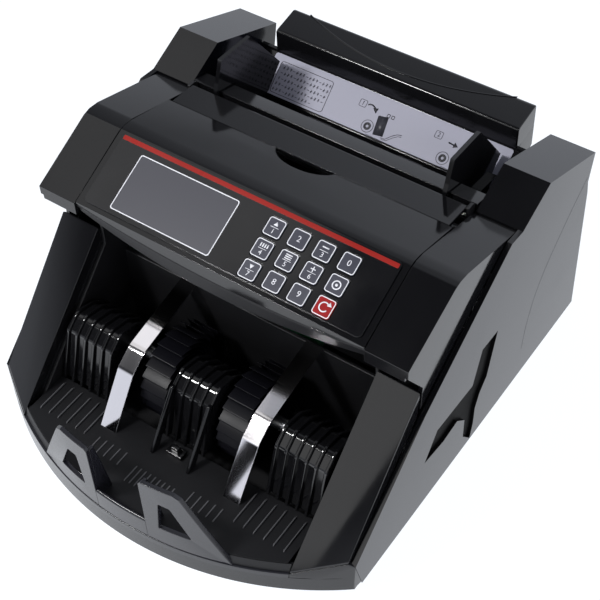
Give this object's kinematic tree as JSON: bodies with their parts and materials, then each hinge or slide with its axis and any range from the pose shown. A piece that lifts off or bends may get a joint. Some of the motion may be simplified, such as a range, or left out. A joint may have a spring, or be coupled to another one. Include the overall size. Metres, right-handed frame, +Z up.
{
  "type": "banknote counting machine",
  "caption": "Desk banknote counter with rear note hopper, sloped display and key panel, front stacker with ribbed combs, wheels and windowed stop.",
  "frame": {"origin": "middle of the footprint at table level, under the feet", "axes": "+X to the machine's right as seen from the front, +Y to the rear, +Z up"},
  "size_m": [0.25, 0.294, 0.165],
  "materials": {
    "gloss_black_abs": "polished black moulding",
    "matte_black_abs": "fine textured black moulding",
    "panel_black": "printed glossy overlay",
    "stripe_red": "printed red",
    "display_grey": "smoked display window",
    "key_slate": "slate key with light border",
    "key_red": "red key with light border",
    "circuit_board": "green solder mask",
    "label_grey": "printed light grey label",
    "polished_steel": "mirror polished",
    "ground_steel": "ground",
    "zinc_steel": "zinc plated sheet",
    "black_rubber": "matt",
    "switch_black": "satin",
    "wheel_black": "satin",
    "motor_grey": "satin",
    "bronze": "sintered",
    "transformer_core": "varnished"
  },
  "bodies": {
    "casing": {"base_tray": "matte_black_abs", "rubber_feet": "black_rubber", "side_cover_left": "gloss_black_abs", "side_cover_right": "gloss_black_abs", "hood": "gloss_black_abs", "stacker_housing": "gloss_black_abs", "central_cover": "gloss_black_abs", "panel_overlay": "panel_black", "accent_stripe": "stripe_red", "display_window": "display_grey", "control_board": "circuit_board", "hopper_plate": "gloss_black_abs", "back_rest": "gloss_black_abs", "instruction_label": "label_grey", "guide_rail": "ground_steel", "front_stop": "gloss_black_abs", "stacker_floor": "gloss_black_abs", "comb_left": "gloss_black_abs", "comb_centre": "gloss_black_abs", "comb_right": "gloss_black_abs", "strip_left": "polished_steel", "strip_right": "polished_steel", "rear_panel": "matte_black_abs", "mains_inlet": "matte_black_abs", "fuse_holder": "matte_black_abs", "frame_left": "zinc_steel", "frame_right": "zinc_steel", "frame_ties": "zinc_steel", "retard_block": "matte_black_abs", "motor": "motor_grey", "drive_belts": "black_rubber", "bearings": "bronze", "main_board": "circuit_board", "transformer": "transformer_core", "note_chute": "matte_black_abs", "sensor_board": "circuit_board", "casing_screws": "ground_steel"},
    "jam_flap": {"jam_flap": "gloss_black_abs"},
    "guide_l": {"guide_left": "gloss_black_abs"},
    "guide_r": {"guide_right": "gloss_black_abs"},
    "rocker": {"rocker_switch": "switch_black"},
    "impeller": {"impeller_shaft": "ground_steel", "impeller_wheels": "wheel_black"},
    "transport": {"transport_shaft": "ground_steel", "transport_rollers": "black_rubber"},
    "feed": {"feed_shaft": "ground_steel", "feed_rollers": "black_rubber"},
    "motor_rotor": {"motor_pulley": "ground_steel"},
    "key_1_cap": {"key_1": "key_slate"},
    "key_2_cap": {"key_2": "key_slate"},
    "key_3_cap": {"key_3": "key_slate"},
    "key_0_cap": {"key_0": "key_slate"},
    "key_4_cap": {"key_4": "key_slate"},
    "key_5_cap": {"key_5": "key_slate"},
    "key_6_cap": {"key_6": "key_slate"},
    "key_set_cap": {"key_set": "key_slate"},
    "key_7_cap": {"key_7": "key_slate"},
    "key_8_cap": {"key_8": "key_slate"},
    "key_9_cap": {"key_9": "key_slate"},
    "key_restart_cap": {"key_restart": "key_red"}
  },
  "joints": [
    {"name": "flap_hinge", "type": "hinge", "parent": "casing", "child": "jam_flap", "pos_m": [0, 0.054, 0.1445], "axis": [-1, 0, 0], "range_deg": [0, 75]},
    {"name": "guide_left_slide", "type": "slide", "parent": "casing", "child": "guide_l", "axis": [1, 0, 0], "range_m": [-0.011, 0.032]},
    {"name": "guide_right_slide", "type": "slide", "parent": "casing", "child": "guide_r", "axis": [-1, 0, 0], "range_m": [-0.011, 0.032]},
    {"name": "power_rocker", "type": "hinge", "parent": "casing", "child": "rocker", "pos_m": [0.055, 0.1382, 0.031], "axis": [1, 0, 0], "range_deg": [0, 16]},
    {"name": "transport_spin", "type": "hinge", "parent": "casing", "child": "transport", "pos_m": [0, 0.035, 0.094], "axis": [1, 0, 0], "continuous": true},
    {"name": "impeller_spin", "type": "hinge", "parent": "casing", "child": "impeller", "pos_m": [0, -0.054, 0.036], "axis": [1, 0, 0], "continuous": true},
    {"name": "feed_spin", "type": "hinge", "parent": "casing", "child": "feed", "pos_m": [0, 0.0869, 0.1023], "axis": [1, 0, 0], "continuous": true},
    {"name": "motor_spin", "type": "hinge", "parent": "casing", "child": "motor_rotor", "pos_m": [-0.1, 0.098, 0.042], "axis": [1, 0, 0], "continuous": true},
    {"name": "key_1_press", "type": "slide", "parent": "casing", "child": "key_1_cap", "axis": [0, 0.4337, -0.9011], "range_m": [0, 0.0005], "stiffness_N_per_m": 500, "springref_m": -0.0004},
    {"name": "key_2_press", "type": "slide", "parent": "casing", "child": "key_2_cap", "axis": [0, 0.4337, -0.9011], "range_m": [0, 0.0005], "stiffness_N_per_m": 500, "springref_m": -0.0004},
    {"name": "key_3_press", "type": "slide", "parent": "casing", "child": "key_3_cap", "axis": [0, 0.4337, -0.9011], "range_m": [0, 0.0005], "stiffness_N_per_m": 500, "springref_m": -0.0004},
    {"name": "key_0_press", "type": "slide", "parent": "casing", "child": "key_0_cap", "axis": [0, 0.4337, -0.9011], "range_m": [0, 0.0005], "stiffness_N_per_m": 500, "springref_m": -0.0004},
    {"name": "key_4_press", "type": "slide", "parent": "casing", "child": "key_4_cap", "axis": [0, 0.4337, -0.9011], "range_m": [0, 0.0005], "stiffness_N_per_m": 500, "springref_m": -0.0004},
    {"name": "key_5_press", "type": "slide", "parent": "casing", "child": "key_5_cap", "axis": [0, 0.4337, -0.9011], "range_m": [0, 0.0005], "stiffness_N_per_m": 500, "springref_m": -0.0004},
    {"name": "key_6_press", "type": "slide", "parent": "casing", "child": "key_6_cap", "axis": [0, 0.4337, -0.9011], "range_m": [0, 0.0005], "stiffness_N_per_m": 500, "springref_m": -0.0004},
    {"name": "key_set_press", "type": "slide", "parent": "casing", "child": "key_set_cap", "axis": [0, 0.4337, -0.9011], "range_m": [0, 0.0005], "stiffness_N_per_m": 500, "springref_m": -0.0004},
    {"name": "key_7_press", "type": "slide", "parent": "casing", "child": "key_7_cap", "axis": [0, 0.4337, -0.9011], "range_m": [0, 0.0005], "stiffness_N_per_m": 500, "springref_m": -0.0004},
    {"name": "key_8_press", "type": "slide", "parent": "casing", "child": "key_8_cap", "axis": [0, 0.4337, -0.9011], "range_m": [0, 0.0005], "stiffness_N_per_m": 500, "springref_m": -0.0004},
    {"name": "key_9_press", "type": "slide", "parent": "casing", "child": "key_9_cap", "axis": [0, 0.4337, -0.9011], "range_m": [0, 0.0005], "stiffness_N_per_m": 500, "springref_m": -0.0004},
    {"name": "key_restart_press", "type": "slide", "parent": "casing", "child": "key_restart_cap", "axis": [0, 0.4337, -0.9011], "range_m": [0, 0.0005], "stiffness_N_per_m": 500, "springref_m": -0.0004}
  ],
  "couplings": [
    {"joint": "impeller_spin", "follows": "transport_spin", "ratio": 0.5},
    {"joint": "feed_spin", "follows": "transport_spin", "ratio": 1},
    {"joint": "motor_spin", "follows": "transport_spin", "ratio": 2},
    {"joint": "guide_right_slide", "follows": "guide_left_slide", "ratio": 1}
  ]
}
